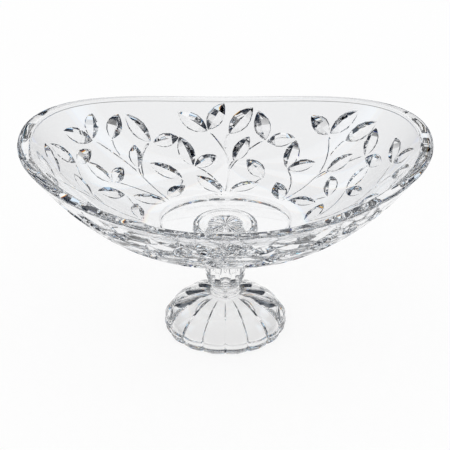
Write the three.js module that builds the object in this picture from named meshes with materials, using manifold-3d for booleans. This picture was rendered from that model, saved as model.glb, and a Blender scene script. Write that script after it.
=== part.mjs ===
// Footed oval fruit bowl in clear crystal, in millimetres, +Z up, standing on the plane Z = 0.
// From the table up: a petalled hollow foot, a bond film, a ringed collar, an olive-cut knop,
// a merese (the flat disc that carries the bowl), a second bond film and the boat-shaped bowl.

import * as THREE from 'three';
import { mergeVertices } from 'three/addons/utils/BufferGeometryUtils.js';
import Module from 'manifold-3d';

const wasm = await Module();
wasm.setup();

// Bowl
const BOWL_LENGTH = 400;
const BOWL_WIDTH = 297;
const BOWL_DEPTH = 62.5; // from the inside floor to the rim at the middle of a long side
const END_LIFT = 26.5; // how much higher the rim is at its two ends
const END_LIFT_BIAS = 0.3; // above 0, the rim climbs early on its way from a side to an end
const OVAL_FULLNESS = 2.17; // 2 is a plain ellipse, more is fuller at the shoulders
const RIM_WIDTH_ENDS = 13;
const RIM_WIDTH_SIDES = 10;
const LIP_HEIGHT = 2.5; // the rounded top of the rim
const FLOOR_LENGTH = 131;
const FLOOR_WIDTH = 98;
const FLOOR_THICKNESS = 16.5; // above the bond face
const FLOOR_STEP = 1; // the floor lies this much lower than the foot of the inside wall
const BASE_LENGTH = 137;
const BASE_WIDTH = 115;
const BASE_RING_WIDTH = 6;
const BASE_RING_DROP = 3.5; // how far the base ring hangs below the bond face
const RECESS_DRAFT = 1.5;
const OUTER_WALL_SLOPES = [0.3, 1.8]; // of the rise curve at the base and at the rim
const INNER_WALL_SLOPES = [0.12, 2.1];

// Leafy sprigs, cut into the outside of the wall with a V-edged wheel
const SPRIG_COUNT = 8;
const CUT_FLANK = THREE.MathUtils.degToRad(42); // how far each side of a cut tilts from the wall
const LEAF_WIDTH_SHARE = 0.4; // of the leaf's length
const STEM_DEPTH = 0.8;
const CUT_OVERSHOOT = 0.8; // the cutting shapes reach this far out of the wall

// One sprig. Sideways is in millimetres from the sprig's root, and up is the share of the wall's height.
// A leaf is [sideways, up, lean from upright in degrees, length]. A stem bends through three points.
const SPRIG_LEAVES = [
  [-4, 0.09, -34, 31],
  [5, 0.13, 60, 28],
  [-19, 0.77, -54, 33],
  [-18, 0.78, 32, 32],
  [4, 0.75, 39, 34],
  [9, 0.51, 24, 29],
  [42, 0.7, -22, 33],
  [44, 0.69, 80, 29],
  [-34, 0.47, -8, 32],
  [-32, 0.46, 62, 27],
  [40, 0.34, -44, 31],
];
const SPRIG_STEMS = [
  [[0, 0.07], [4, 0.3], [4, 0.46]],
  [[4, 0.46], [2, 0.62], [-18, 0.77]],
  [[0, 0.62], [-1, 0.7], [4, 0.75]],
  [[4, 0.42], [5, 0.47], [9, 0.51]],
  [[4, 0.4], [16, 0.6], [42, 0.7]],
  [[-1, 0.1], [-8, 0.34], [-33, 0.47]],
  [[2, 0.1], [26, 0.2], [40, 0.34]],
];

// Merese, with its rayed star
const MERESE_HEIGHT = 12.9;
const MERESE_DIAMETER = 65;
const MERESE_EDGE_DROP = 5; // the widest part lies this far below the top face
const MERESE_FACE_DIAMETER = 52;
const STAR_DIAMETER = 34.4;
const STAR_RAYS = 24;
const STAR_DEPTH = 1.6;

// Knop
const KNOP_HEIGHT = 42;
const KNOP_DIAMETER = 42;
const KNOP_END_DIAMETER = 29;
const OLIVE_COUNT = 8;
const OLIVE_DEPTH = 2.6;
const OLIVE_CUT_RADIUS = 10; // of the hollow across the olive
const OLIVE_REACH = 34; // half the height of the cutting shape

// Ringed collar
const COLLAR_HEIGHT = 13.5;
const COLLAR_RING_DIAMETERS = [31, 27.6, 26.4]; // from the foot up
const COLLAR_RING_COUNT = COLLAR_RING_DIAMETERS.length;
const COLLAR_GROOVE_DEPTH = 1.4;

// Foot
const FOOT_DIAMETER = 124;
const FOOT_HEIGHT = 36.5;
const FOOT_SEAT_DIAMETER = 34;
const FOOT_BEAD_HEIGHT = 9; // of the rounded bead along the foot's edge
const FOOT_BEAD_STEP = 1.6; // the dome starts this far inside the bead's widest ring
const FOOT_TUCK = 1.5; // the bead draws in this far at the table
const FOOT_LEAN = 2.5; // of the dome towards the axis where it leaves the bead
const FOOT_CONTACT_WIDTH = 10.5; // of the flat ring that meets the table
const FOOT_WALL = 15; // above the hollow
const PETAL_COUNT = 16;
const PETAL_DEPTH = 3.2; // of the grooves between the petals
const GROOVE_WIDTH = 0.2; // share of a half petal that the sharp V of a groove takes
const GROOVE_SHARE = 0.55; // of the depth that the V makes, above the petal's soft swell

// Joints
const BOND_FILM = 0.3;
const BOND_RING_WIDTH = 8; // the film under the bowl is a ring, which leaves the star dry

// Facets
const BOWL_SEGMENTS = 48;
const WALL_STATIONS = 8;
const LIP_STATIONS = 5;
const LEAF_STEPS = 5;
const STEM_STEPS = 3;
const TURNED_SEGMENTS = 24;
const PETAL_SEGMENTS = 4;

// Heights of the joints above the table
const COLLAR_FOOT_Z = FOOT_HEIGHT + BOND_FILM;
const KNOP_FOOT_Z = COLLAR_FOOT_Z + COLLAR_HEIGHT;
const MERESE_FOOT_Z = KNOP_FOOT_Z + KNOP_HEIGHT;
const UPPER_FILM_Z = MERESE_FOOT_Z + MERESE_HEIGHT;
const BOND_FACE_Z = UPPER_FILM_Z + BOND_FILM;
const FLOOR_Z = BOND_FACE_Z + FLOOR_THICKNESS;
const BASE_Z = BOND_FACE_Z - BASE_RING_DROP;
const LIP_Z = FLOOR_Z + BOWL_DEPTH - LIP_HEIGHT;

const lerp = THREE.MathUtils.lerp;
const range = (count) => Array.from({ length: count }, (_, i) => i);

// A closed mesh with shared corners and no empty triangles, as a solid.
function solidOf(geometry) {
  const bare = geometry.clone();
  bare.deleteAttribute('normal');
  bare.deleteAttribute('uv');
  const merged = mergeVertices(bare, 1e-4);
  const index = merged.index.array;
  const kept = range(index.length / 3)
    .map((i) => [index[3 * i], index[3 * i + 1], index[3 * i + 2]])
    .filter(([a, b, c]) => a !== b && b !== c && c !== a);
  return new wasm.Manifold(
    new wasm.Mesh({
      numProp: 3,
      vertProperties: new Float32Array(merged.getAttribute('position').array),
      triVerts: new Uint32Array(kept.flat()),
    }),
  );
}

function geometryOf(solid) {
  const mesh = solid.getMesh();
  const geometry = new THREE.BufferGeometry();
  geometry.setAttribute('position', new THREE.BufferAttribute(mesh.vertProperties, 3));
  geometry.setIndex(new THREE.BufferAttribute(mesh.triVerts, 1));
  geometry.computeVertexNormals();
  return geometry;
}

// Turns an outline of [radius, height] points about Z, from the bottom of the axis round to its top.
// place(x, y, z, stop) may move each point, where stop is the point's number in the outline.
function revolve(outline, segments, place = (x, y, z) => [x, y, z]) {
  const points = outline.map(([radius, height]) => new THREE.Vector2(radius, height));
  const geometry = new THREE.LatheGeometry(points, segments).rotateX(Math.PI / 2);
  const position = geometry.getAttribute('position');
  for (const i of range(position.count)) {
    const moved = place(position.getX(i), position.getY(i), position.getZ(i), i % points.length);
    position.setXYZ(i, ...moved);
  }
  return geometry;
}

// Rises from 0 to 1 as t does, leaving and arriving at the two slopes.
function riseCurve(t, [startSlope, endSlope]) {
  const square = t * t;
  const cube = square * t;
  return (cube - 2 * square + t) * startSlope + 3 * square - 2 * cube + (cube - square) * endSlope;
}

// A stop is one level of the bowl: half its oval's length and width, its height at the sides, and how
// far its ends are lifted. This gives a point on it, with the oval filled out at the shoulders.
function onOval({ length, width, height, lift }, turn) {
  const along = Math.cos(turn);
  const across = Math.sin(turn);
  const sum = Math.abs(along) ** OVAL_FULLNESS + Math.abs(across) ** OVAL_FULLNESS;
  const fill = sum ** (-1 / OVAL_FULLNESS);
  const share = (along * fill) ** 2;
  const raised = height + lift * share * (1 + END_LIFT_BIAS * (1 - share));
  return new THREE.Vector3(length * along * fill, width * across * fill, raised);
}

// The outside of the wall, from the base at up = 0 to the rim at up = 1.
function outerStop(up) {
  const rise = riseCurve(up, OUTER_WALL_SLOPES);
  return {
    length: lerp(BASE_LENGTH, BOWL_LENGTH, up) / 2,
    width: lerp(BASE_WIDTH, BOWL_WIDTH, up) / 2,
    height: lerp(BASE_Z, LIP_Z, rise),
    lift: END_LIFT * rise,
  };
}

function innerStop(up) {
  const rise = riseCurve(up, INNER_WALL_SLOPES);
  return {
    length: lerp(FLOOR_LENGTH / 2, BOWL_LENGTH / 2 - RIM_WIDTH_ENDS, up),
    width: lerp(FLOOR_WIDTH / 2, BOWL_WIDTH / 2 - RIM_WIDTH_SIDES, up),
    height: lerp(FLOOR_Z, LIP_Z, rise),
    lift: END_LIFT * rise,
  };
}

function lipStop(i) {
  const turn = (Math.PI * i) / (LIP_STATIONS - 1);
  return {
    length: BOWL_LENGTH / 2 - (RIM_WIDTH_ENDS / 2) * (1 - Math.cos(turn)),
    width: BOWL_WIDTH / 2 - (RIM_WIDTH_SIDES / 2) * (1 - Math.cos(turn)),
    height: LIP_Z + LIP_HEIGHT * Math.sin(turn),
    lift: END_LIFT,
  };
}

function flatStop(length, width, inset, height) {
  return { length: length / 2 - inset, width: width / 2 - inset, height, lift: 0 };
}

// The uncut bowl: stops go from the middle of the underside, over the rim, to the middle of the floor.
function bowlBlank() {
  const stops = [
    flatStop(0, 0, 0, BOND_FACE_Z),
    flatStop(BASE_LENGTH, BASE_WIDTH, BASE_RING_WIDTH + RECESS_DRAFT, BOND_FACE_Z),
    flatStop(BASE_LENGTH, BASE_WIDTH, BASE_RING_WIDTH, BASE_Z),
    ...range(WALL_STATIONS).map((i) => outerStop(i / WALL_STATIONS)),
    ...range(LIP_STATIONS).map(lipStop),
    ...range(WALL_STATIONS).map((i) => innerStop(1 - (i + 1) / WALL_STATIONS)),
    flatStop(FLOOR_LENGTH, FLOOR_WIDTH, FLOOR_STEP, FLOOR_Z - FLOOR_STEP),
    flatStop(0, 0, 0, FLOOR_Z - FLOOR_STEP),
  ];
  const outline = stops.map((stop) => [stop.length, stop.height]);
  return revolve(outline, BOWL_SEGMENTS, (x, y, z, i) => {
    if (stops[i].length === 0) return [0, 0, z];
    return onOval(stops[i], Math.atan2(y, x)).toArray();
  });
}

// Where the wall is, how it runs up and sideways, and which way it faces.
function wallFrame(turn, up) {
  const step = 1e-3;
  const rate = (from, to) => to.sub(from).divideScalar(2 * step);
  const upward = rate(onOval(outerStop(up - step), turn), onOval(outerStop(up + step), turn));
  const sideways = rate(onOval(outerStop(up), turn + step), onOval(outerStop(up), turn - step));
  const facing = upward.clone().cross(sideways).normalize();
  return { point: onOval(outerStop(up), turn), upward, sideways, facing };
}

// A V-groove along a path of [turn, up] places on the wall, this deep at each of them.
// Where the depth is minus the overshoot, the groove runs out to a point clear of the wall.
function groove(path, depths) {
  const frames = path.map(([turn, up]) => wallFrame(turn, up));
  const corners = frames.map(({ point, facing }, i) => {
    const before = frames[Math.max(i - 1, 0)].point;
    const after = frames[Math.min(i + 1, frames.length - 1)].point;
    const across = after.clone().sub(before).cross(facing).normalize();
    const half = (CUT_OVERSHOOT + depths[i]) / Math.tan(CUT_FLANK);
    const keel = point.clone().addScaledVector(facing, -depths[i]);
    const top = point.clone().addScaledVector(facing, CUT_OVERSHOOT);
    const left = top.clone().addScaledVector(across, -half);
    return [keel, left, top.addScaledVector(across, half)];
  });
  const index = range(frames.length - 1).flatMap((i) => range(3).flatMap((k) => {
    const here = 3 * i + k;
    const next = 3 * i + ((k + 1) % 3);
    return [here, next, here + 3, next, next + 3, here + 3];
  }));
  const geometry = new THREE.BufferGeometry().setFromPoints(corners.flat());
  geometry.setIndex(index);
  return solidOf(geometry);
}

// Turns a sprig's own sideways millimetres into a place on the wall.
function onWall(root, sideways, up) {
  return [root - sideways / wallFrame(root, up).sideways.length(), up];
}

// A leaf: the wheel sinks in and out again, so the groove is widest and deepest halfway along.
function leafCut(root, [sideways, up, lean, length]) {
  const depth = ((length * LEAF_WIDTH_SHARE) / 2) * Math.tan(CUT_FLANK);
  const reach = Math.sqrt(1 + CUT_OVERSHOOT / depth);
  const angle = THREE.MathUtils.degToRad(lean);
  const [turn] = onWall(root, sideways, up);
  const frame = wallFrame(turn, up);
  const sweep = range(LEAF_STEPS + 1).map((i) => -reach * Math.cos((Math.PI * i) / LEAF_STEPS));
  const path = sweep.map((u) => {
    const along = (length / 2) * (1 + u);
    const sidestep = (along * Math.sin(angle)) / frame.sideways.length();
    return [turn - sidestep, up + (along * Math.cos(angle)) / frame.upward.length()];
  });
  return groove(path, sweep.map((u) => depth * (1 - u * u)));
}

function stemCut(root, [start, bend, end]) {
  const curve = new THREE.QuadraticBezierCurve(
    new THREE.Vector2(...start), new THREE.Vector2(...bend), new THREE.Vector2(...end));
  const ends = [0, STEM_STEPS];
  const path = curve.getPoints(STEM_STEPS).map((p) => onWall(root, p.x, p.y));
  return groove(path, path.map((_, i) => (ends.includes(i) ? -CUT_OVERSHOOT : STEM_DEPTH)));
}

function bowl() {
  const cuts = range(SPRIG_COUNT).flatMap((i) => {
    const root = Math.PI / 2 + (i * 2 * Math.PI) / SPRIG_COUNT;
    return [
      ...SPRIG_LEAVES.map((leaf) => leafCut(root, leaf)),
      ...SPRIG_STEMS.map((stem) => stemCut(root, stem)),
    ];
  });
  return geometryOf(solidOf(bowlBlank()).subtract(wasm.Manifold.union(cuts)));
}

// A flat washer or disc of bond film.
function bondFilm(innerDiameter, outerDiameter, z) {
  const inner = innerDiameter / 2;
  const outer = outerDiameter / 2;
  const top = z + BOND_FILM;
  if (inner === 0) {
    return revolve([[0, z], [outer, z], [outer, top], [0, top]], TURNED_SEGMENTS);
  }
  return revolve([[inner, z], [outer, z], [outer, top], [inner, top], [inner, z]], TURNED_SEGMENTS);
}

// The merese: a cone that spreads from the knop to a rounded edge, with a star pressed into its face.
// Every ray of the star is one ridge and one valley, so the disc has two segments to a ray.
function merese() {
  const edgeZ = UPPER_FILM_Z - MERESE_EDGE_DROP;
  const edge = MERESE_DIAMETER / 2;
  const face = MERESE_FACE_DIAMETER / 2;
  const neck = KNOP_END_DIAMETER / 2;
  const star = STAR_DIAMETER / 2;
  const flare = new THREE.CubicBezierCurve(
    new THREE.Vector2(neck, MERESE_FOOT_Z),
    new THREE.Vector2(neck, lerp(MERESE_FOOT_Z, edgeZ, 0.7)),
    new THREE.Vector2(lerp(neck, edge, 0.7), lerp(MERESE_FOOT_Z, edgeZ, 0.5)),
    new THREE.Vector2(edge, edgeZ),
  );
  const roundedEdge = new THREE.EllipseCurve(face, edgeZ, edge - face, MERESE_EDGE_DROP, 0, Math.PI / 2);
  const outline = [
    [0, MERESE_FOOT_Z],
    ...flare.getPoints(6).map((p) => [p.x, p.y]),
    ...roundedEdge.getPoints(4).slice(1).map((p) => [p.x, p.y]),
    [star, UPPER_FILM_Z],
    [star * 0.97, UPPER_FILM_Z],
    [star * 0.12, UPPER_FILM_Z],
    [0, UPPER_FILM_Z - STAR_DEPTH],
  ];
  const rayStops = [outline.length - 3, outline.length - 2];
  return revolve(outline, 2 * STAR_RAYS, (x, y, z, i) => {
    if (!rayStops.includes(i)) return [x, y, z];
    const valley = (1 + Math.cos(STAR_RAYS * Math.atan2(y, x))) / 2;
    return [x, y, z - STAR_DEPTH * lerp(0.15, 1, valley)];
  });
}

// The knop: an egg-shaped turning with upright olives ground into its side.
function knop() {
  const end = KNOP_END_DIAMETER / 2;
  const belly = KNOP_DIAMETER / 2;
  const side = new THREE.EllipseCurve(
    end, KNOP_FOOT_Z + KNOP_HEIGHT / 2, belly - end, KNOP_HEIGHT / 2, -Math.PI / 2, Math.PI / 2);
  const blank = revolve(
    [[0, KNOP_FOOT_Z], ...side.getPoints(10).map((p) => [p.x, p.y]), [0, KNOP_FOOT_Z + KNOP_HEIGHT]],
    TURNED_SEGMENTS,
  );
  const olives = range(OLIVE_COUNT).map((i) => {
    const turn = (i / OLIVE_COUNT) * 2 * Math.PI - Math.PI / 2;
    const away = belly - OLIVE_DEPTH + OLIVE_CUT_RADIUS;
    const cut = new THREE.SphereGeometry(1, 16, 12).rotateX(Math.PI / 2);
    cut.scale(OLIVE_CUT_RADIUS, OLIVE_CUT_RADIUS, OLIVE_REACH);
    cut.translate(away * Math.cos(turn), away * Math.sin(turn), KNOP_FOOT_Z + KNOP_HEIGHT / 2);
    return solidOf(cut);
  });
  return geometryOf(olives.reduce((left, olive) => left.subtract(olive), solidOf(blank)));
}

// The collar: three rounded rings, each a little wider than the one above.
function collar() {
  const pitch = COLLAR_HEIGHT / COLLAR_RING_COUNT;
  const rings = COLLAR_RING_DIAMETERS.flatMap((diameter, i) => {
    const bottom = COLLAR_FOOT_Z + i * pitch;
    const root = diameter / 2 - COLLAR_GROOVE_DEPTH;
    const bulge = new THREE.EllipseCurve(
      root, bottom + pitch / 2, COLLAR_GROOVE_DEPTH, pitch / 2, -Math.PI / 2, Math.PI / 2);
    return bulge.getPoints(4).map((p) => [p.x, p.y]);
  });
  return revolve([[0, COLLAR_FOOT_Z], ...rings, [0, KNOP_FOOT_Z]], TURNED_SEGMENTS);
}

// How deep the foot's outside lies below a petal's crown, from 0 there to 1 in a groove.
function petalGroove(turn) {
  const across = 2 * THREE.MathUtils.euclideanModulo((turn * PETAL_COUNT) / (2 * Math.PI), 1) - 1;
  const sharp = Math.max(0, 1 - (1 - Math.abs(across)) / GROOVE_WIDTH);
  return lerp(across * across, sharp, GROOVE_SHARE);
}

// The foot: a hollow dome pressed into petals, with a rounded bead along its edge. A groove faces the front.
function foot() {
  const belly = FOOT_DIAMETER / 2;
  const seat = FOOT_SEAT_DIAMETER / 2;
  const edge = belly - FOOT_TUCK;
  const shoulder = belly - FOOT_BEAD_STEP;
  const hollow = edge - FOOT_CONTACT_WIDTH;
  const inside = new THREE.CubicBezierCurve(
    new THREE.Vector2(0, FOOT_HEIGHT - FOOT_WALL),
    new THREE.Vector2(hollow * 0.55, FOOT_HEIGHT - FOOT_WALL),
    new THREE.Vector2(hollow - 1, FOOT_HEIGHT * 0.45),
    new THREE.Vector2(hollow, 0),
  );
  const swell = belly + (FOOT_TUCK + FOOT_BEAD_STEP) / 6; // brings the bead's widest ring out to the belly
  const bead = new THREE.CubicBezierCurve(
    new THREE.Vector2(edge, 0),
    new THREE.Vector2(swell, 0),
    new THREE.Vector2(swell, FOOT_BEAD_HEIGHT),
    new THREE.Vector2(shoulder, FOOT_BEAD_HEIGHT),
  );
  const dome = new THREE.CubicBezierCurve(
    new THREE.Vector2(shoulder, FOOT_BEAD_HEIGHT),
    new THREE.Vector2(shoulder - FOOT_LEAN, lerp(FOOT_BEAD_HEIGHT, FOOT_HEIGHT, 0.46)),
    new THREE.Vector2(lerp(seat, belly, 0.37), FOOT_HEIGHT - 0.6),
    new THREE.Vector2(seat, FOOT_HEIGHT),
  );
  const hollowPoints = inside.getPoints(6).map((p) => [p.x, p.y]);
  const outline = [
    ...hollowPoints,
    ...bead.getPoints(4).map((p) => [p.x, p.y]),
    ...dome.getPoints(7).slice(1).map((p) => [p.x, p.y]),
    [0, FOOT_HEIGHT],
  ];
  return revolve(outline, PETAL_COUNT * PETAL_SEGMENTS, (x, y, z, i) => {
    const radius = Math.hypot(x, y);
    if (i < hollowPoints.length || radius <= seat) return [x, y, z];
    const groove = petalGroove(Math.atan2(y, x));
    const spread = (radius - seat) / (belly - seat);
    const depth = PETAL_DEPTH * groove * Math.min(1, spread / 0.4);
    const inward = z > FOOT_BEAD_HEIGHT ? spread : 1;
    const drawnIn = 1 - (depth * inward) / radius;
    return [x * drawnIn, y * drawnIn, z - depth * (1 - inward)];
  });
}

const crystal = () => new THREE.MeshStandardMaterial({
  color: 0xf2f5f8, roughness: 0.02, metalness: 0, transparent: true, opacity: 0.4 });
const clearFilm = () => new THREE.MeshStandardMaterial({
  color: 0xf7f7f5, roughness: 0.1, metalness: 0, transparent: true, opacity: 0.3 });

function piece(name, geometry, material) {
  const mesh = new THREE.Mesh(geometry, material);
  mesh.name = name;
  return mesh;
}

const footedBowl = new THREE.Group();
footedBowl.add(
  piece('foot', foot(), crystal()),
  piece(
    'lower_bond_film',
    bondFilm(0, COLLAR_RING_DIAMETERS[0] - 2 * COLLAR_GROOVE_DEPTH, FOOT_HEIGHT),
    clearFilm(),
  ),
  piece('ringed_collar', collar(), crystal()),
  piece('knop', knop(), crystal()),
  piece('merese', merese(), crystal()),
  piece(
    'upper_bond_film',
    bondFilm(MERESE_FACE_DIAMETER - 2 * BOND_RING_WIDTH, MERESE_FACE_DIAMETER, UPPER_FILM_Z),
    clearFilm(),
  ),
  piece('bowl', bowl(), crystal()),
);

export default footedBowl;
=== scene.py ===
# %% [markdown]
# # A footed oval fruit bowl in cut crystal
# The bowl is a clear crystal boat on a short turned stem and a hollow, petalled foot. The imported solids
# give every piece its place. This notebook rebuilds each piece with finer curves, because glass shows
# every facet, and then gives it a crystal that bends light.

# %% Load the frame
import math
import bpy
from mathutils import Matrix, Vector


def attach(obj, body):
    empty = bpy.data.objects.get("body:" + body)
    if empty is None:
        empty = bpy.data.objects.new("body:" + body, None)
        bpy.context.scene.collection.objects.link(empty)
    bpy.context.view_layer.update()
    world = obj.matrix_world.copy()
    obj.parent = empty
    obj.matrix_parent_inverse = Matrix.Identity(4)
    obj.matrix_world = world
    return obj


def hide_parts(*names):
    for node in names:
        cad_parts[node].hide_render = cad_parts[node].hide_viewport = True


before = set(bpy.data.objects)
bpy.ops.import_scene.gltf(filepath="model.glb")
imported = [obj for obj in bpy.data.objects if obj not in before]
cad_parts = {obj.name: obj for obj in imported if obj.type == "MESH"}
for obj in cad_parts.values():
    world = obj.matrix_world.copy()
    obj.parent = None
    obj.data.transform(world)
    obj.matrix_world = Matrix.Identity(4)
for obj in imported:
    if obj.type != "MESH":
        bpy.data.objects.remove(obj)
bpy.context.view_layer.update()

# %% [markdown]
# ## The camera
# The picture looks along the bowl's width from about 29 degrees above the table. A long lens from 1.8 m
# away keeps the far rim nearly as long as the near one. The small shifts slide the frame without turning
# the camera, so that upright lines stay upright.

MM = 0.001
CAMERA_ELEVATION = math.radians(29.4)
CAMERA_DISTANCE = 1.8
CAMERA_TARGET = Vector((0, 0, 0.120))
CAMERA_LENS, CAMERA_SENSOR = 145.66, 36
CAMERA_SHIFT_X, CAMERA_SHIFT_Y = -0.0007, -0.0120

camera = bpy.data.objects.new("camera", bpy.data.cameras.new("camera"))
bpy.context.scene.collection.objects.link(camera)
toward_camera = Vector((0, -math.cos(CAMERA_ELEVATION), math.sin(CAMERA_ELEVATION)))
camera.location = CAMERA_TARGET + CAMERA_DISTANCE * toward_camera
camera.rotation_euler = toward_camera.to_track_quat("Z", "Y").to_euler()
camera.data.lens = CAMERA_LENS
camera.data.sensor_width = CAMERA_SENSOR
camera.data.shift_x = CAMERA_SHIFT_X
camera.data.shift_y = CAMERA_SHIFT_Y
bpy.context.scene.camera = camera
bpy.context.scene.view_settings.view_transform = "Standard"
print("camera", [round(value, 3) for value in camera.location])

# %% [markdown]
# ## The tent of light
# Clear glass has no colour of its own: it shows what stands around it. Photographers therefore put it in
# a white tent, which gives a white picture, and leave the top of the tent dark, with a few strip lights
# on the far side. The cuts then catch the dark as black sparks and the strips as white ones. Here the
# world is the tent, and only rays that glass bends or mirrors see its dark top. All other light is an
# even white, so the table is lit as plainly as in any soft studio.

# %% World
TENT_TOP, TENT_FADE, TENT_TINT = -0.1, 0.06, 0.02
CEILING_COLOUR = 0.02, 0.026, 0.038
STRIP_COUNT, STRIP_SHARE, STRIP_SOFTNESS = 8, 0.2, 0.2
STRIP_LOW, STRIP_FADE = 0.3, 0.1
FAR_SIDE_START, FAR_SIDE_FULL = -0.25, 0.05
SIDE_TINT = 0.6, 0.3, 0.0
FRINGE = 0.1


def link_nodes(tree, pairs):
    for source, target in pairs:
        tree.links.new(source, target)


def add_math(tree, operation, first, second):
    node = tree.nodes.new("ShaderNodeMath")
    node.operation = operation
    for socket, value in zip(node.inputs, (first, second)):
        if isinstance(value, (int, float)):
            socket.default_value = value
        else:
            tree.links.new(value, socket)
    return node.outputs[0]


def ramp(tree, value, low, high):
    """0 below low, 1 above high, and a straight ramp between."""
    node = tree.nodes.new("ShaderNodeMapRange")
    node.inputs["From Min"].default_value = low
    node.inputs["From Max"].default_value = high
    tree.links.new(value, node.inputs["Value"])
    return node.outputs["Result"]


def seen_directly(tree):
    """1 for rays from the camera and for rays that glass has bent or mirrored."""
    path = tree.nodes.new("ShaderNodeLightPath")
    glass_rays = add_math(
        tree, "MAXIMUM", path.outputs["Is Glossy Ray"], path.outputs["Is Transmission Ray"])
    clear_view = add_math(tree, "MAXIMUM", path.outputs["Is Camera Ray"], glass_rays)
    scattered = add_math(tree, "MINIMUM", path.outputs["Diffuse Depth"], 1)
    return add_math(tree, "MULTIPLY", clear_view, add_math(tree, "SUBTRACT", 1, scattered))


def tent_colour(tree):
    """White walls, and a dark top with a fan of strip lights on its far side, cooler to the sides."""
    coordinates = tree.nodes.new("ShaderNodeTexCoord")
    split = tree.nodes.new("ShaderNodeSeparateXYZ")
    tree.links.new(coordinates.outputs["Generated"], split.inputs[0])
    x, y, z = (split.outputs[name] for name in "XYZ")
    fan = add_math(tree, "MULTIPLY", add_math(tree, "ARCTAN2", x, y), STRIP_COUNT)
    above = ramp(tree, z, STRIP_LOW, STRIP_LOW + STRIP_FADE)
    hung = add_math(tree, "MULTIPLY", ramp(tree, y, FAR_SIDE_START, FAR_SIDE_FULL), above)
    sideways = add_math(tree, "MULTIPLY", x, x)
    channels = tree.nodes.new("ShaderNodeCombineColor")
    for socket, shift, dark, tint in zip(channels.inputs, (-1, 0, 1), CEILING_COLOUR, SIDE_TINT):
        wave = add_math(tree, "COSINE", add_math(tree, "ADD", fan, shift * FRINGE), 0)
        strip = ramp(tree, wave, STRIP_SHARE, STRIP_SHARE + STRIP_SOFTNESS)
        cool = add_math(tree, "SUBTRACT", 1, add_math(tree, "MULTIPLY", sideways, tint))
        lit = add_math(tree, "MULTIPLY", add_math(tree, "MULTIPLY", strip, cool), hung)
        top = TENT_TOP + shift * TENT_TINT
        wall = ramp(tree, z, top + TENT_FADE, top)
        tree.links.new(add_math(tree, "MAXIMUM", wall, add_math(tree, "MAXIMUM", lit, dark)), socket)
    return channels.outputs[0]


world = bpy.data.worlds.new("tent")
bpy.context.scene.world = world
world.use_nodes = True
world_tree = world.node_tree
tent = world_tree.nodes["Background"]
plain = world_tree.nodes.new("ShaderNodeBackground")
plain.inputs["Color"].default_value = (1, 1, 1, 1)
either = world_tree.nodes.new("ShaderNodeMixShader")
link_nodes(world_tree, [
    (tent_colour(world_tree), tent.inputs["Color"]),
    (seen_directly(world_tree), either.inputs[0]),
    (plain.outputs[0], either.inputs[1]),
    (tent.outputs[0], either.inputs[2]),
    (either.outputs[0], world_tree.nodes["World Output"].inputs["Surface"]),
])
print("world", len(world_tree.nodes), "nodes")

# %% [markdown]
# ## The table
# The table is a plain white sheet. Part of its brightness is its own, seen by the camera and through the
# glass, so that it stays white, and the rest is light that falls on it, so that it keeps a soft shadow.
# The glass sees a painted pool of light, a glow of the sheet's own that fades with distance. The sheet
# lies
# a hair below the foot: without that thin layer of air, the foot's underside could not mirror.

# %% Table
TABLE_HALF, TABLE_GAP, TABLE_WHITE = 3.0, 0.00015, 0.95
OWN_LIGHT_TO_CAMERA, OWN_LIGHT_TO_GLASS = 0.85, 0.8
# The painted pool of light: the table's own glow as glass rays see it, full near the bowl and fading
# outward.
POOL_LIGHT, POOL_INNER, POOL_OUTER, POOL_OUTSIDE = 0.95, 0.65, 1.4, 0.05


def painted_pool_of_light(tree):
    """A painted pool of light round the bowl: the table's own glow, which fades with distance along the
    table.
    """
    place = tree.nodes.new("ShaderNodeTexCoord")
    away = tree.nodes.new("ShaderNodeVectorMath")
    away.operation = "LENGTH"
    tree.links.new(place.outputs["Object"], away.inputs[0])
    fading = ramp(tree, away.outputs["Value"], POOL_OUTER, POOL_INNER)
    return add_math(tree, "MAXIMUM", add_math(tree, "MULTIPLY", fading, POOL_LIGHT), POOL_OUTSIDE)


def table_material():
    material = bpy.data.materials.new("white_table")
    material.use_nodes = True
    tree = material.node_tree
    tree.nodes.clear()
    sheet = tree.nodes.new("ShaderNodeBsdfDiffuse")
    sheet.inputs["Color"].default_value = (TABLE_WHITE, TABLE_WHITE, TABLE_WHITE, 1)
    glow = tree.nodes.new("ShaderNodeEmission")
    mix = tree.nodes.new("ShaderNodeMixShader")
    output = tree.nodes.new("ShaderNodeOutputMaterial")
    to_camera = tree.nodes.new("ShaderNodeLightPath").outputs["Is Camera Ray"]
    camera_share = add_math(tree, "MULTIPLY", to_camera, OWN_LIGHT_TO_CAMERA)
    glass_share = add_math(tree, "MULTIPLY", seen_directly(tree), OWN_LIGHT_TO_GLASS)
    link_nodes(tree, [
        # Camera rays see an even white; glass rays see the painted pool of light.
        (add_math(tree, "MAXIMUM", to_camera, painted_pool_of_light(tree)), glow.inputs["Strength"]),
        (add_math(tree, "MAXIMUM", camera_share, glass_share), mix.inputs[0]),
        (sheet.outputs[0], mix.inputs[1]),
        (glow.outputs[0], mix.inputs[2]),
        (mix.outputs[0], output.inputs["Surface"]),
    ])
    return material


table_mesh = bpy.data.meshes.new("table")
corners = [
    (x * TABLE_HALF, y * TABLE_HALF, -TABLE_GAP) for x, y in ((-1, -1), (1, -1), (1, 1), (-1, 1))]
table_mesh.from_pydata(corners, [], [(0, 1, 2, 3)])
table_mesh.materials.append(table_material())
table = bpy.data.objects.new("table", table_mesh)
bpy.context.scene.collection.objects.link(table)
print("table", 2 * TABLE_HALF, "m wide")

# %% [markdown]
# ## The crystal
# Heavy crystal bends light more than window glass does, so its refractive index is about 1.56. Thick
# crystal is a little blue, and the bowl, which light crosses most often, shows it. The faces where two
# pieces are bonded need a second material: clear adhesive fills the joint, and light goes straight
# through it as if the glass went on. Light is also mirrored many times inside a thick rim, so the
# renderer has to follow it for longer than it does by default.

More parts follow.
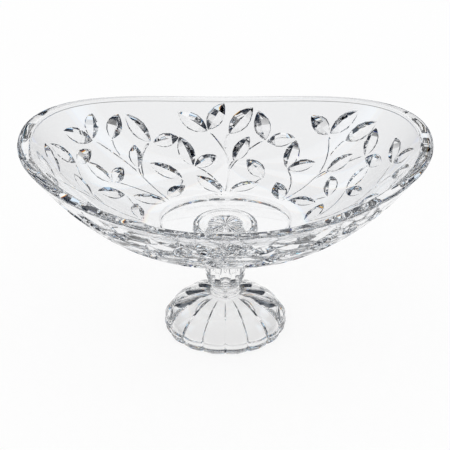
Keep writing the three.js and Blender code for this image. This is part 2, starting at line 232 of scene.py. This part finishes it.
# %% Materials
CRYSTAL_INDEX = 1.56
COLOURLESS, FAINT_BLUE = (1.0, 1.0, 1.0), (0.988, 0.992, 1.0)
STAR_ROUGHNESS = 0.3
MIRROR_BOUNCES, BEND_BOUNCES, CLEAR_BOUNCES, ALL_BOUNCES = 11, 32, 24, 40


def crystal_material(name, colour=COLOURLESS, roughness=0.0):
    material = bpy.data.materials.new(name)
    material.use_nodes = True
    shader = material.node_tree.nodes["Principled BSDF"]
    shader.inputs["Base Color"].default_value = (*colour, 1)
    shader.inputs["Roughness"].default_value = roughness
    shader.inputs["IOR"].default_value = CRYSTAL_INDEX
    shader.inputs["Transmission Weight"].default_value = 1.0
    return material


def clear_joint_material():
    material = bpy.data.materials.new("clear_joint")
    material.use_nodes = True
    tree = material.node_tree
    tree.nodes.clear()
    clear = tree.nodes.new("ShaderNodeBsdfTransparent")
    output = tree.nodes.new("ShaderNodeOutputMaterial")
    link_nodes(tree, [(clear.outputs[0], output.inputs["Surface"])])
    return material


bowl_crystal = crystal_material("bowl_crystal", FAINT_BLUE)
stem_crystal = crystal_material("stem_crystal")
foot_crystal = crystal_material("foot_crystal")
star_satin = crystal_material("star_satin", roughness=STAR_ROUGHNESS)
clear_joint = clear_joint_material()
light_paths = bpy.context.scene.cycles
light_paths.glossy_bounces = MIRROR_BOUNCES
light_paths.transmission_bounces = BEND_BOUNCES
light_paths.transparent_max_bounces = CLEAR_BOUNCES
light_paths.max_bounces = ALL_BOUNCES
print("materials", [material.name for material in bpy.data.materials])

# %% [markdown]
# ## Skinning a piece
# Every piece is a stack of rings, from one point on the axis to another, with a skin stretched over them.
# The same few functions serve the bowl, whose rings are ovals, and the turned pieces of the stem.

# %% Rings and skins
import bmesh
import numpy as np

SHARP_ANGLE = math.radians(11)
CRYSTAL, JOINT, SATIN = 0, 1, 2


def lerp(a, b, t):
    return a + (b - a) * t


def bezier(points, steps):
    """Points along a curve of two, three or four control points, ends included."""
    t = np.linspace(0, 1, steps + 1)[:, None]
    layers = [np.array(point, float) for point in points]
    while len(layers) > 1:
        layers = [first + (second - first) * t for first, second in zip(layers, layers[1:])]
    return layers[0]


def ellipse_arc(centre, radii, start, stop, steps):
    turn = np.linspace(start, stop, steps + 1)
    return np.column_stack((
        centre[0] + radii[0] * np.cos(turn), centre[1] + radii[1] * np.sin(turn)))


def turned_rings(profile, segments):
    """Circles round the axis through the points (radius, height); a radius of 0 is one point."""
    turn = np.arange(segments) * 2 * math.pi / segments
    rings = []
    for radius, height in profile:
        if radius == 0:
            rings.append(np.array([[0, 0, height]], float))
            continue
        rings.append(np.column_stack((
            radius * np.cos(turn), radius * np.sin(turn), np.full(segments, height))))
    return rings


def skin(name, rings, materials, joint_bands=(), satin_bands=()):
    """A closed object over rings of points in millimetres. Joint bands start at these rings."""
    starts = np.cumsum([0] + [len(ring) for ring in rings])
    faces = []
    kinds = []
    for band, (low, high) in enumerate(zip(rings, rings[1:])):
        size = max(len(low), len(high))
        here = np.arange(size)
        after = (here + 1) % size
        low_ids = [starts[band] + (ids if len(low) > 1 else 0 * ids) for ids in (here, after)]
        high_ids = [starts[band + 1] + (ids if len(high) > 1 else 0 * ids) for ids in (here, after)]
        for loop in zip(low_ids[0], low_ids[1], high_ids[1], high_ids[0]):
            faces.append(list(dict.fromkeys(int(corner) for corner in loop)))
            kinds.append(JOINT if band in joint_bands else SATIN if band in satin_bands else CRYSTAL)
    mesh = bpy.data.meshes.new(name)
    mesh.from_pydata((np.vstack(rings) * MM).tolist(), [], faces)
    mesh.polygons.foreach_set("material_index", kinds)
    for material in materials:
        mesh.materials.append(material)
    work = bmesh.new()
    work.from_mesh(mesh)
    bmesh.ops.recalc_face_normals(work, faces=work.faces)
    work.to_mesh(mesh)
    work.free()
    made = bpy.data.objects.new(name, mesh)
    bpy.context.scene.collection.objects.link(made)
    return made


def cut_away(blank, cutter):
    """Takes the cutter out of the blank, and the cutter out of the scene."""
    wheel = blank.modifiers.new("cut", "BOOLEAN")
    wheel.operation = "DIFFERENCE"
    wheel.solver = "MANIFOLD"
    wheel.object = cutter
    evaluated = blank.evaluated_get(bpy.context.evaluated_depsgraph_get())
    mesh = bpy.data.meshes.new_from_object(evaluated)
    blank.modifiers.clear()
    blank.data = mesh
    bpy.data.objects.remove(cutter)


def polish(made, node):
    """Smooth curves and crisp edges, then the piece takes its node's place in the frame."""
    made.data.shade_smooth()
    made.data.set_sharp_from_angle(angle=SHARP_ANGLE)
    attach(made, "root")
    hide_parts(node)
    print(made.name, len(made.data.polygons), "faces")


# %% [markdown]
# ## The bowl's blank
# The blank is an oval bowl whose ends sweep up. Each level is an oval a little fuller than an ellipse,
# and the wall's height follows a curve that starts nearly flat and ends steep. It is blown into a mould,
# or pressed, and the rim is then fire polished to a round edge.

# %% Bowl blank
BOWL_LENGTH, BOWL_WIDTH = 400, 297
END_LIFT, END_LIFT_BIAS = 26.5, 0.3
OVAL_FULLNESS = 2.17
RIM_WIDTH_ENDS, RIM_WIDTH_SIDES, LIP_HEIGHT, LIP_FULLNESS = 13, 10, 2.5, 2.7
FLOOR_LENGTH, FLOOR_WIDTH, FLOOR_STEP, FLOOR_DRAFT = 131, 98, 1, 2.2
BASE_LENGTH, BASE_WIDTH = 137, 115
BASE_RING_WIDTH, RECESS_DRAFT = 3, 1.5
OUTER_WALL_SLOPES, INNER_WALL_SLOPES = (0.3, 1.8), (0.12, 2.1)
BASE_Z, BOND_FACE_Z, FLOOR_Z, LIP_Z = 102, 105.5, 122, 182
BOND_OUTER, BOND_INNER = 26, 18
BOWL_SEGMENTS, WALL_STATIONS, LIP_STATIONS = 240, 40, 32

bowl_turns = np.arange(BOWL_SEGMENTS) * 2 * math.pi / BOWL_SEGMENTS


def rise_curve(t, slopes):
    start = (t**3 - 2 * t**2 + t) * slopes[0]
    end = (t**3 - t**2) * slopes[1]
    return start + 3 * t**2 - 2 * t**3 + end


def on_oval(length, width, height, lift, turn):
    """Points on one level of the bowl, from its half length, half width, height and end lift."""
    along, across = np.cos(turn), np.sin(turn)
    fill = (np.abs(along)**OVAL_FULLNESS + np.abs(across)**OVAL_FULLNESS)**(-1 / OVAL_FULLNESS)
    share = (along * fill)**2
    raised = height + lift * share * (1 + END_LIFT_BIAS * (1 - share))
    return np.stack((length * along * fill, width * across * fill, raised), axis=-1)


def outer_wall(up, turn):
    rise = rise_curve(up, OUTER_WALL_SLOPES)
    return on_oval(
        lerp(BASE_LENGTH, BOWL_LENGTH, up) / 2, lerp(BASE_WIDTH, BOWL_WIDTH, up) / 2,
        lerp(BASE_Z, LIP_Z, rise), END_LIFT * rise, turn)


def inner_wall(up, turn):
    rise = rise_curve(up, INNER_WALL_SLOPES)
    return on_oval(
        lerp(FLOOR_LENGTH / 2, BOWL_LENGTH / 2 - RIM_WIDTH_ENDS, up),
        lerp(FLOOR_WIDTH / 2, BOWL_WIDTH / 2 - RIM_WIDTH_SIDES, up),
        lerp(FLOOR_Z, LIP_Z, rise), END_LIFT * rise, turn)


def lip(over):
    """A level of the rounded rim, with over from 0 outside to pi inside."""
    outward = math.copysign(abs(math.cos(over))**(2 / LIP_FULLNESS), math.cos(over))
    inward = (1 - outward) / 2
    return on_oval(
        BOWL_LENGTH / 2 - RIM_WIDTH_ENDS * inward, BOWL_WIDTH / 2 - RIM_WIDTH_SIDES * inward,
        LIP_Z + LIP_HEIGHT * abs(math.sin(over))**(2 / LIP_FULLNESS), END_LIFT, bowl_turns)


def flat_oval(length, width, inset, height):
    return on_oval(length / 2 - inset, width / 2 - inset, height, 0, bowl_turns)


print("rim", lip(0)[0].round(1), "to", lip(math.pi)[0].round(1))

# %% [markdown]
# ## The bowl's seat
# The bowl is bonded to the stem on a flat ring in the middle of its base. Inside the ring a star of 24
# rays is pressed into the glass, an old way to dress the bottom of a bowl. Two narrow grooves are turned
# round the ring, and the inner one takes up spare adhesive. All are sunk from below. Their sloping sides
# mirror the light inside the glass, and so they show through the floor as crisp lines.

# %% Bowl seat
STAR_RADIUS, STAR_RAYS, STAR_RIM, STAR_STEPS = 17.2, 24, 0.97, 6
PRINT_DEPTH = 0.8
SEAT_GROOVE_COUNT, SEAT_GROOVE, SEAT_GROOVE_STEP = 2, 1.1, 3.4


def from_star_ray(segments):
    """How far each point of a circle is from the nearest ray, from 0 to half a pitch."""
    turn = np.arange(segments) / segments
    return np.abs((turn * STAR_RAYS + 0.5) % 1 - 0.5)


print_radii = np.linspace(0, STAR_RADIUS * STAR_RIM, STAR_STEPS + 1)
seat_profile = [(radius, BOND_FACE_Z) for radius in (*print_radii, STAR_RADIUS, BOND_INNER)]
bowl_bond_band = len(seat_profile) - 1
for i in range(SEAT_GROOVE_COUNT):
    start = BOND_OUTER + i * SEAT_GROOVE_STEP
    seat_profile += [
        (start, BOND_FACE_Z), (start + SEAT_GROOVE, BOND_FACE_Z + SEAT_GROOVE),
        (start + 2 * SEAT_GROOVE, BOND_FACE_Z),
    ]
seat_rings = turned_rings(seat_profile, BOWL_SEGMENTS)
for radius, ring in zip(print_radii[1:], seat_rings[1:]):
    ring[:, 2] += PRINT_DEPTH * radius / STAR_RADIUS * (1 - 2 * from_star_ray(BOWL_SEGMENTS))
print("seat", len(seat_rings), "rings")

# %% [markdown]
# ## Closing the blank
# The levels are now stacked in one run: from the seat out under the base, up the outside, over the rim,
# down the inside and across the floor, which lies a little lower than the foot of the wall. One skin
# over the whole run gives solid glass with an inside and an outside.

# %% Skin the bowl
bowl_rings = seat_rings + [
    flat_oval(BASE_LENGTH, BASE_WIDTH, BASE_RING_WIDTH + RECESS_DRAFT, BOND_FACE_Z),
    flat_oval(BASE_LENGTH, BASE_WIDTH, BASE_RING_WIDTH, BASE_Z),
]
bowl_rings += [outer_wall(i / WALL_STATIONS, bowl_turns) for i in range(WALL_STATIONS)]
bowl_rings += [lip(math.pi * i / LIP_STATIONS) for i in range(LIP_STATIONS + 1)]
bowl_rings += [inner_wall(1 - (i + 1) / WALL_STATIONS, bowl_turns) for i in range(WALL_STATIONS)]
bowl_rings += [
    flat_oval(FLOOR_LENGTH, FLOOR_WIDTH, FLOOR_DRAFT, FLOOR_Z - FLOOR_STEP),
    np.array([[0, 0, FLOOR_Z - FLOOR_STEP]], float),
]
bowl = skin("cut_bowl", bowl_rings, [bowl_crystal, clear_joint], joint_bands={bowl_bond_band})
print("bowl blank", len(bowl.data.polygons), "faces")

# %% [markdown]
# ## The leafy sprigs
# A cutter holds the cold bowl against a spinning stone wheel. Sinking the wheel in and lifting it out
# again leaves a pointed leaf, deep in the middle, with two sloping sides. The wheel's edge is worn: it is
# flatter near the keel and steeper near the rim of the cut, and the steep part draws a thin dark outline
# round each leaf. The sides are ground in short flats, which flash white or dark one by one. A thin wheel
# drawn along the wall leaves a stem. One sprig is laid out here and repeated eight times round the bowl.

# %% Sprig layout
SPRIG_COUNT = 8
KEEL_FLANK, EDGE_FLANK = math.radians(34), math.radians(67)
SHOULDER = 0.64
LEAF_WIDTH_SHARE = 0.52
STEM_DEPTH = 1.0
CUT_OVERSHOOT = 0.8
LEAF_STEPS, STEM_STEPS = 8, 10
SHOULDER_HALF = SHOULDER / math.tan(KEEL_FLANK)
TOP_HALF = SHOULDER_HALF + (1 - SHOULDER) / math.tan(EDGE_FLANK)
RATE_STEP = 1e-3

# Each leaf starts at millimetres sideways and a share of the way up, leans over, and has a length.
SPRIG_LEAVES = [
    (-4, 0.09, -34, 31), (5, 0.13, 60, 28),
    (-19, 0.77, -54, 33), (-18, 0.78, 32, 32), (4, 0.75, 39, 34), (9, 0.51, 24, 29),
    (42, 0.70, -22, 33), (44, 0.69, 80, 29),
    (-34, 0.47, -8, 32), (-32, 0.46, 62, 27), (40, 0.34, -44, 31),
]
# Each stem runs from its first point to its last and bends towards the middle one.
SPRIG_STEMS = [
    ((0, 0.07), (4, 0.30), (4, 0.46)), ((4, 0.46), (2, 0.62), (-18, 0.77)),
    ((0, 0.62), (-1, 0.70), (4, 0.75)), ((4, 0.42), (5, 0.47), (9, 0.51)),
    ((4, 0.40), (16, 0.60), (42, 0.70)), ((-1, 0.10), (-8, 0.34), (-33, 0.47)),
    ((2, 0.10), (26, 0.20), (40, 0.34)),
]


def wall_rates(turn, up):
    """How fast the outer wall runs up and sideways, in millimetres."""
    upward = outer_wall(up + RATE_STEP, turn) - outer_wall(up - RATE_STEP, turn)
    sideways = outer_wall(up, turn - RATE_STEP) - outer_wall(up, turn + RATE_STEP)
    return upward / (2 * RATE_STEP), sideways / (2 * RATE_STEP)


def on_wall(root, sideways, up):
    """The turn that lies so many millimetres to the side of a sprig's root."""
    rates = wall_rates(np.full_like(np.asarray(up, float), root), up)
    return root - sideways / np.linalg.norm(rates[1], axis=-1)


def groove(turn, up, depth):
    """Keel, shoulders and edges at each place; where depth is minus the overshoot the cut ends."""
    points = outer_wall(up[:, None], turn[:, None])[:, 0]
    upward, sideways = (rate[:, 0] for rate in wall_rates(turn[:, None], up[:, None]))
    facing = np.cross(upward, sideways)
    facing /= np.linalg.norm(facing, axis=1)[:, None]
    across = np.cross(np.gradient(points, axis=0), facing)
    across /= np.linalg.norm(across, axis=1)[:, None]
    height = (CUT_OVERSHOOT + depth)[:, None]
    keel = points - facing * depth[:, None]
    top = points + facing * CUT_OVERSHOOT
    shoulder = keel + facing * height * SHOULDER
    lower, upper = across * height * SHOULDER_HALF, across * height * TOP_HALF
    corners = keel, shoulder - lower, top - upper, top + upper, shoulder + lower
    sections = list(np.stack(corners, axis=1))
    sections[0] = top[:1]
    sections[-1] = top[-1:]
    return sections


def leaf_cut(root, leaf):
    sideways, base_up, lean, length = leaf
    depth = length * LEAF_WIDTH_SHARE / 2 / TOP_HALF
    reach = math.sqrt(1 + CUT_OVERSHOOT / depth)
    sweep = -reach * np.cos(np.linspace(0, math.pi, LEAF_STEPS + 1))
    along = length / 2 * (1 + sweep)
    base_turn = on_wall(root, sideways, base_up)
    upward_rate, sideways_rate = (np.linalg.norm(r) for r in wall_rates(base_turn, base_up))
    turn = base_turn - along * math.sin(math.radians(lean)) / sideways_rate
    up = base_up + along * math.cos(math.radians(lean)) / upward_rate
    return groove(turn, up, depth * (1 - sweep**2))


def stem_cut(root, stem):
    path = bezier(stem, STEM_STEPS)
    depth = np.full(STEM_STEPS + 1, STEM_DEPTH)
    depth[[0, -1]] = -CUT_OVERSHOOT
    turn = np.array([on_wall(root, sideways, up) for sideways, up in path])
    return groove(turn, path[:, 1], depth)


print("a groove is", round(2 * TOP_HALF, 2), "times as wide as deep")

# %% [markdown]
# ## Cutting the bowl
# The wheel makes one cut at a time, so each leaf and each stem is taken away by itself, at all eight
# places in one go. Cuts that cross then simply run into each other, as they do in real glass.

# %% Cut bowl
roots = [math.pi / 2 + i * 2 * math.pi / SPRIG_COUNT for i in range(SPRIG_COUNT)]


def cut_round_bowl(make_cut, layout):
    """Joins the cutting shapes of all roots into one and takes it out of the bowl."""
    cutters = [skin("cutter", make_cut(root, layout), [bowl_crystal]) for root in roots]
    joined = cutters[0]
    work = bmesh.new()
    for cutter in cutters:
        work.from_mesh(cutter.data)
    work.to_mesh(joined.data)
    work.free()
    for cutter in cutters[1:]:
        bpy.data.objects.remove(cutter)
    cut_away(bowl, joined)


for leaf in SPRIG_LEAVES:
    cut_round_bowl(leaf_cut, leaf)
for stem in SPRIG_STEMS:
    cut_round_bowl(stem_cut, stem)
polish(bowl, "bowl")

# %% [markdown]
# ## The merese
# A merese is the disc between a stem and a bowl. This one spreads from the stem to a rounded edge. Its
# face answers the bowl's star with 24 fine satin rays. Only a ring outside the star is bonded, so there
# is air between the two, and the star goes on glittering.

# %% Merese
MERESE_FOOT_Z, UPPER_FILM_Z = 92.3, 105.2
MERESE_RADIUS, MERESE_EDGE_DROP = 32.5, 5
KNOP_END_RADIUS = 14.5
FLARE_UPRIGHT, FLARE_REACH, FLARE_RISE = 0.7, 0.7, 0.5
STAR_SINK, STAR_EYE, RAY_DEPTH, RAY_SLOPE = 0.533, 0.12, 1.12, 1.6
FLARE_STEPS, EDGE_STEPS, RAY_SEGMENTS = 24, 16, 16

edge_z = UPPER_FILM_Z - MERESE_EDGE_DROP
flare = bezier([
    (KNOP_END_RADIUS, MERESE_FOOT_Z),
    (KNOP_END_RADIUS, lerp(MERESE_FOOT_Z, edge_z, FLARE_UPRIGHT)),
    (lerp(KNOP_END_RADIUS, MERESE_RADIUS, FLARE_REACH), lerp(MERESE_FOOT_Z, edge_z, FLARE_RISE)),
    (MERESE_RADIUS, edge_z),
], FLARE_STEPS)
rounded_edge = ellipse_arc(
    (BOND_OUTER, edge_z), (MERESE_RADIUS - BOND_OUTER, MERESE_EDGE_DROP), 0, math.pi / 2, EDGE_STEPS)
merese_profile = [(0, MERESE_FOOT_Z), *flare, *rounded_edge[1:]]
merese_bond_band = len(merese_profile) - 1
merese_profile += [(BOND_INNER, UPPER_FILM_Z), (STAR_RADIUS, UPPER_FILM_Z)]
star_start = len(merese_profile)
star_radii = np.linspace(STAR_RADIUS * STAR_RIM, STAR_RADIUS * STAR_EYE, STAR_STEPS + 1)
merese_profile += [(radius, UPPER_FILM_Z - STAR_SINK) for radius in (*star_radii, 0)]
merese_rings = turned_rings(merese_profile, STAR_RAYS * RAY_SEGMENTS)
for radius, ring in zip(star_radii, merese_rings[star_start:]):
    off_ray = from_star_ray(STAR_RAYS * RAY_SEGMENTS) * 2 * math.pi * radius / STAR_RAYS
    ring[:, 2] -= np.maximum(0, RAY_DEPTH - RAY_SLOPE * off_ray)
merese = skin(
    "star_merese", merese_rings, [stem_crystal, clear_joint, star_satin],
    joint_bands={0, merese_bond_band}, satin_bands=range(star_start - 1, len(merese_profile) - 1))
polish(merese, "merese")

# %% [markdown]
# ## The knop
# The knop is the swelling that a hand grips. It is turned like an egg and then held against a rounded
# stone eight times, which leaves eight upright hollows called olives. The stone is a little squarer than
# an ellipse, so that each olive keeps its width and ends in a steep round edge, which shows dark.

# %% Knop
KNOP_FOOT_Z, KNOP_HEIGHT = 50.3, 42
KNOP_RADIUS = 21
OLIVE_COUNT, OLIVE_DEPTH, OLIVE_CUT_RADIUS, OLIVE_REACH = 8, 3.6, 8.5, 20
OLIVE_FULLNESS = 3
COLLAR_TOP_RADIUS = 11.8
TURNED_SEGMENTS, KNOP_STEPS = 160, 40
OLIVE_STEPS, OLIVE_SEGMENTS = 48, 96

knop_middle = KNOP_FOOT_Z + KNOP_HEIGHT / 2
knop_side = ellipse_arc(
    (KNOP_END_RADIUS, knop_middle), (KNOP_RADIUS - KNOP_END_RADIUS, KNOP_HEIGHT / 2),
    -math.pi / 2, math.pi / 2, KNOP_STEPS)
knop_profile = [(0, KNOP_FOOT_Z), (COLLAR_TOP_RADIUS, KNOP_FOOT_Z), *knop_side]
knop_profile += [(0, KNOP_FOOT_Z + KNOP_HEIGHT)]
knop = skin(
    "olive_cut_knop", turned_rings(knop_profile, TURNED_SEGMENTS), [stem_crystal, clear_joint],
    joint_bands={0, len(knop_profile) - 2})


def olive_cutter(i):
    """A squarish egg that stands beside the knop and bites an olive out of it."""
    turn = i / OLIVE_COUNT * 2 * math.pi - math.pi / 2
    away = KNOP_RADIUS - OLIVE_DEPTH + OLIVE_CUT_RADIUS
    share = -np.cos(np.linspace(0, math.pi, OLIVE_STEPS + 1))
    reach = (1 - np.abs(share)**OLIVE_FULLNESS)**(1 / OLIVE_FULLNESS)
    arc = np.column_stack((OLIVE_CUT_RADIUS * reach, knop_middle + OLIVE_REACH * share))
    rings = turned_rings(arc, OLIVE_SEGMENTS)
    shift = np.array([away * math.cos(turn), away * math.sin(turn), 0])
    return skin("olive", [ring + shift for ring in rings], [stem_crystal])


for i in range(OLIVE_COUNT):
    cut_away(knop, olive_cutter(i))
polish(knop, "knop")

# %% [markdown]
# ## The collar
# Three rounded rings, each a little wider than the one above, make the neck between the knop and the
# foot. They are pressed into the hot stem with a grooved tool.

# %% Collar
COLLAR_FOOT_Z, COLLAR_HEIGHT = 36.8, 13.5
COLLAR_RING_RADII, COLLAR_GROOVE_DEPTH = (15.5, 13.8, 13.2), 1.4
COLLAR_RING_STEPS = 24

ring_pitch = COLLAR_HEIGHT / len(COLLAR_RING_RADII)
collar_profile = [(0, COLLAR_FOOT_Z)]
for i, radius in enumerate(COLLAR_RING_RADII):
    ring_middle = COLLAR_FOOT_Z + (i + 0.5) * ring_pitch
    collar_profile += list(ellipse_arc(
        (radius - COLLAR_GROOVE_DEPTH, ring_middle), (COLLAR_GROOVE_DEPTH, ring_pitch / 2),
        -math.pi / 2, math.pi / 2, COLLAR_RING_STEPS))
collar_profile += [(0, KNOP_FOOT_Z)]
collar = skin(
    "ringed_neck", turned_rings(collar_profile, TURNED_SEGMENTS), [stem_crystal, clear_joint],
    joint_bands={0, len(collar_profile) - 2})
polish(collar, "ringed_collar")

# %% [markdown]
# ## The foot
# The foot is a hollow dome on two rounded beads, one over the other, pressed in a mould with 16 petals.
# The petals swell between narrow V-shaped grooves that grow shallower towards the stem. The inside is
# smooth, so the grooves show as thin lines through the front.

# %% Foot
FOOT_RADIUS, FOOT_HEIGHT, FOOT_SEAT_RADIUS = 62, 36.5, 17
FOOT_BEAD_HEIGHT, FOOT_TUCK, FOOT_CONTACT_WIDTH, FOOT_WALL = 11, 2.5, 9.5, 12
FOOT_BEAD_STEP, FOOT_BEAD_SWELL, FOOT_LEAN = 2.2, 0.7, 2.5
LOWER_BEAD_HEIGHT, LOWER_BEAD_SWELL = 5, 1.6
PETAL_COUNT, PETAL_DEPTH, PETAL_FADE = 16, 3.2, 0.9
GROOVE_WIDTH, GROOVE_SHARE = 0.12, 0.5
HOLLOW_FLAT, HOLLOW_LEAN, HOLLOW_SHOULDER = 0.55, 1, 0.45
DOME_RISE, DOME_REACH, DOME_DROP = 0.46, 0.37, 0.6
PETAL_SEGMENTS, HOLLOW_STEPS, LOWER_BEAD_STEPS, BEAD_STEPS, DOME_STEPS = 24, 30, 10, 12, 40
COLLAR_FOOT_RADIUS = COLLAR_RING_RADII[0] - COLLAR_GROOVE_DEPTH

foot_edge = FOOT_RADIUS - FOOT_TUCK
hollow_radius = foot_edge - FOOT_CONTACT_WIDTH
hollow_top = FOOT_HEIGHT - FOOT_WALL
hollow = bezier([
    (0, hollow_top), (hollow_radius * HOLLOW_FLAT, hollow_top),
    (hollow_radius - HOLLOW_LEAN, FOOT_HEIGHT * HOLLOW_SHOULDER), (hollow_radius, 0),
], HOLLOW_STEPS)
bead_top = FOOT_RADIUS - FOOT_BEAD_STEP
lower_bead = bezier([
    (foot_edge, 0), (foot_edge + LOWER_BEAD_SWELL, 0),
    (foot_edge + LOWER_BEAD_SWELL, LOWER_BEAD_HEIGHT), (foot_edge, LOWER_BEAD_HEIGHT),
], LOWER_BEAD_STEPS)
upper_bead = bezier([
    (foot_edge, LOWER_BEAD_HEIGHT), (FOOT_RADIUS + FOOT_BEAD_SWELL, LOWER_BEAD_HEIGHT),
    (FOOT_RADIUS + FOOT_BEAD_SWELL, FOOT_BEAD_HEIGHT), (bead_top, FOOT_BEAD_HEIGHT),
], BEAD_STEPS)
dome = bezier([
    (bead_top, FOOT_BEAD_HEIGHT),
    (bead_top - FOOT_LEAN, lerp(FOOT_BEAD_HEIGHT, FOOT_HEIGHT, DOME_RISE)),
    (lerp(FOOT_SEAT_RADIUS, FOOT_RADIUS, DOME_REACH), FOOT_HEIGHT - DOME_DROP),
    (FOOT_SEAT_RADIUS, FOOT_HEIGHT),
], DOME_STEPS)
foot_profile = [*hollow, *lower_bead, *upper_bead[1:], *dome[1:]]
foot_profile += [(COLLAR_FOOT_RADIUS, FOOT_HEIGHT), (0, FOOT_HEIGHT)]
foot_rings = turned_rings(foot_profile, PETAL_COUNT * PETAL_SEGMENTS)
across_petal = 2 * (np.arange(PETAL_COUNT * PETAL_SEGMENTS) / PETAL_SEGMENTS % 1) - 1
petal_groove = (1 - GROOVE_SHARE) * across_petal**2
petal_groove += GROOVE_SHARE * np.clip(1 - (1 - np.abs(across_petal)) / GROOVE_WIDTH, 0, 1)
for (radius, height), ring in zip(foot_profile[len(hollow):], foot_rings[len(hollow):]):
    if radius <= FOOT_SEAT_RADIUS:
        continue
    spread = (radius - FOOT_SEAT_RADIUS) / (FOOT_RADIUS - FOOT_SEAT_RADIUS)
    depth = PETAL_DEPTH * petal_groove * min(1, spread / PETAL_FADE)
    inward = spread if height > FOOT_BEAD_HEIGHT else 1
    ring[:, :2] *= (1 - depth * inward / radius)[:, None]
    ring[:, 2] -= depth * (1 - inward)
foot = skin(
    "petalled_foot", foot_rings, [foot_crystal, clear_joint], joint_bands={len(foot_profile) - 2})
polish(foot, "foot")

# %% [markdown]
# ## The bond films
# The two films of clear adhesive keep their solids. They take the same clear finish as the joint faces,
# so light passes from one piece of glass to the next without a break.

# %% Bond films
for node in ("lower_bond_film", "upper_bond_film"):
    film = bpy.data.objects[node]
    film.data.materials.clear()
    film.data.materials.append(clear_joint)
    print(film.name, "takes", clear_joint.name)
